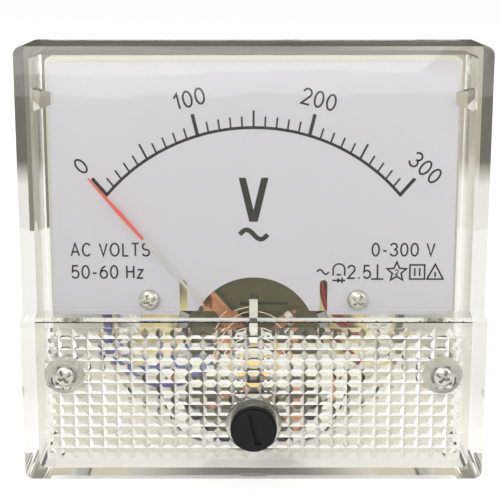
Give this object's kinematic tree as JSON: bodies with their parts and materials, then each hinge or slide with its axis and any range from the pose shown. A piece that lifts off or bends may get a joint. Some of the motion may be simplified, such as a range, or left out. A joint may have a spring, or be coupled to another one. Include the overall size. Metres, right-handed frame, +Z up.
{
  "type": "ac voltmeter",
  "caption": "Panel AC voltmeter with a clear stepped front, white arc dial, moving-coil pointer, zero adjuster, round barrel and stud terminals at the back.",
  "frame": {"origin": "where the barrel's axis meets the panel face of the flange", "axes": "+Z up the dial, +Y along the barrel to the back, the dial faces -Y"},
  "size_m": [0.064, 0.0575, 0.06],
  "materials": {
    "clear_cover": "clear moulded polystyrene",
    "ivory_plastic": "moulded, satin",
    "black_plastic": "moulded, satin",
    "dial_white": "painted matt white",
    "pointer_red": "painted",
    "copper_winding": "enamelled copper wire",
    "former": "dark lacquer",
    "steel_bright": "nickel plated",
    "tinned": "tinned",
    "bronze_spring": "bright phosphor bronze",
    "brass": "turned",
    "magnet": "passivated",
    "passivated": "yellow passivated zinc",
    "die_cast": "as cast",
    "resistor_blue": "lacquered film resistor",
    "board_green": "lacquered laminate",
    "blue_insulation": "wire insulation",
    "red_insulation": "wire insulation"
  },
  "bodies": {
    "case": {"front_cover": "clear_cover", "cover_screws": "steel_bright", "base": "ivory_plastic", "dial_plate": "dial_white", "dial_screws": "steel_bright", "rear_hairspring": "bronze_spring", "front_bridge": "steel_bright", "rear_bridge": "passivated", "front_jewel_screw": "brass", "rear_jewel_screw": "brass", "jewel_locknuts": "brass", "bridge_screws": "steel_bright", "core_magnet": "magnet", "core_supports": "die_cast", "yoke_ring": "steel_bright", "movement_frame": "passivated", "frame_screws": "steel_bright", "series_resistor": "resistor_blue", "rectifier_board": "board_green", "rectifier_diodes": "black_plastic", "board_nuts": "brass", "blue_lead": "blue_insulation", "red_lead": "red_insulation", "terminal_studs": "brass", "terminal_clamp_nuts": "brass", "terminal_washers": "brass", "terminal_lugs": "tinned", "terminal_nuts": "brass", "mounting_studs": "steel_bright"},
    "adjuster": {"zero_adjuster": "black_plastic", "adjuster_clip": "steel_bright"},
    "lever": {"zero_lever": "tinned", "front_hairspring": "bronze_spring"},
    "movement": {"pointer": "pointer_red", "moving_coil": "copper_winding", "coil_former": "former", "pivot_staffs": "steel_bright", "balance_weights": "brass"}
  },
  "joints": [
    {"name": "zero_adjust", "type": "hinge", "parent": "case", "child": "adjuster", "pos_m": [0, -0.016, -0.0185], "axis": [0, 1, 0], "range_deg": [-30, 30]},
    {"name": "zero_lever_swing", "type": "hinge", "parent": "case", "child": "lever", "pos_m": [0, -0.009, -0.011], "axis": [0, 1, 0], "range_deg": [-5.4, 5.4]},
    {"name": "pointer_swing", "type": "hinge", "parent": "lever", "child": "movement", "pos_m": [0, 0, -0.011], "axis": [0, 1, 0], "range_deg": [0, 83], "stiffness_Nm_per_rad": 0.00002, "deforming": ["front_hairspring", "rear_hairspring"]}
  ],
  "couplings": [
    {"joint": "zero_lever_swing", "follows": "zero_adjust", "ratio": -0.177}
  ]
}
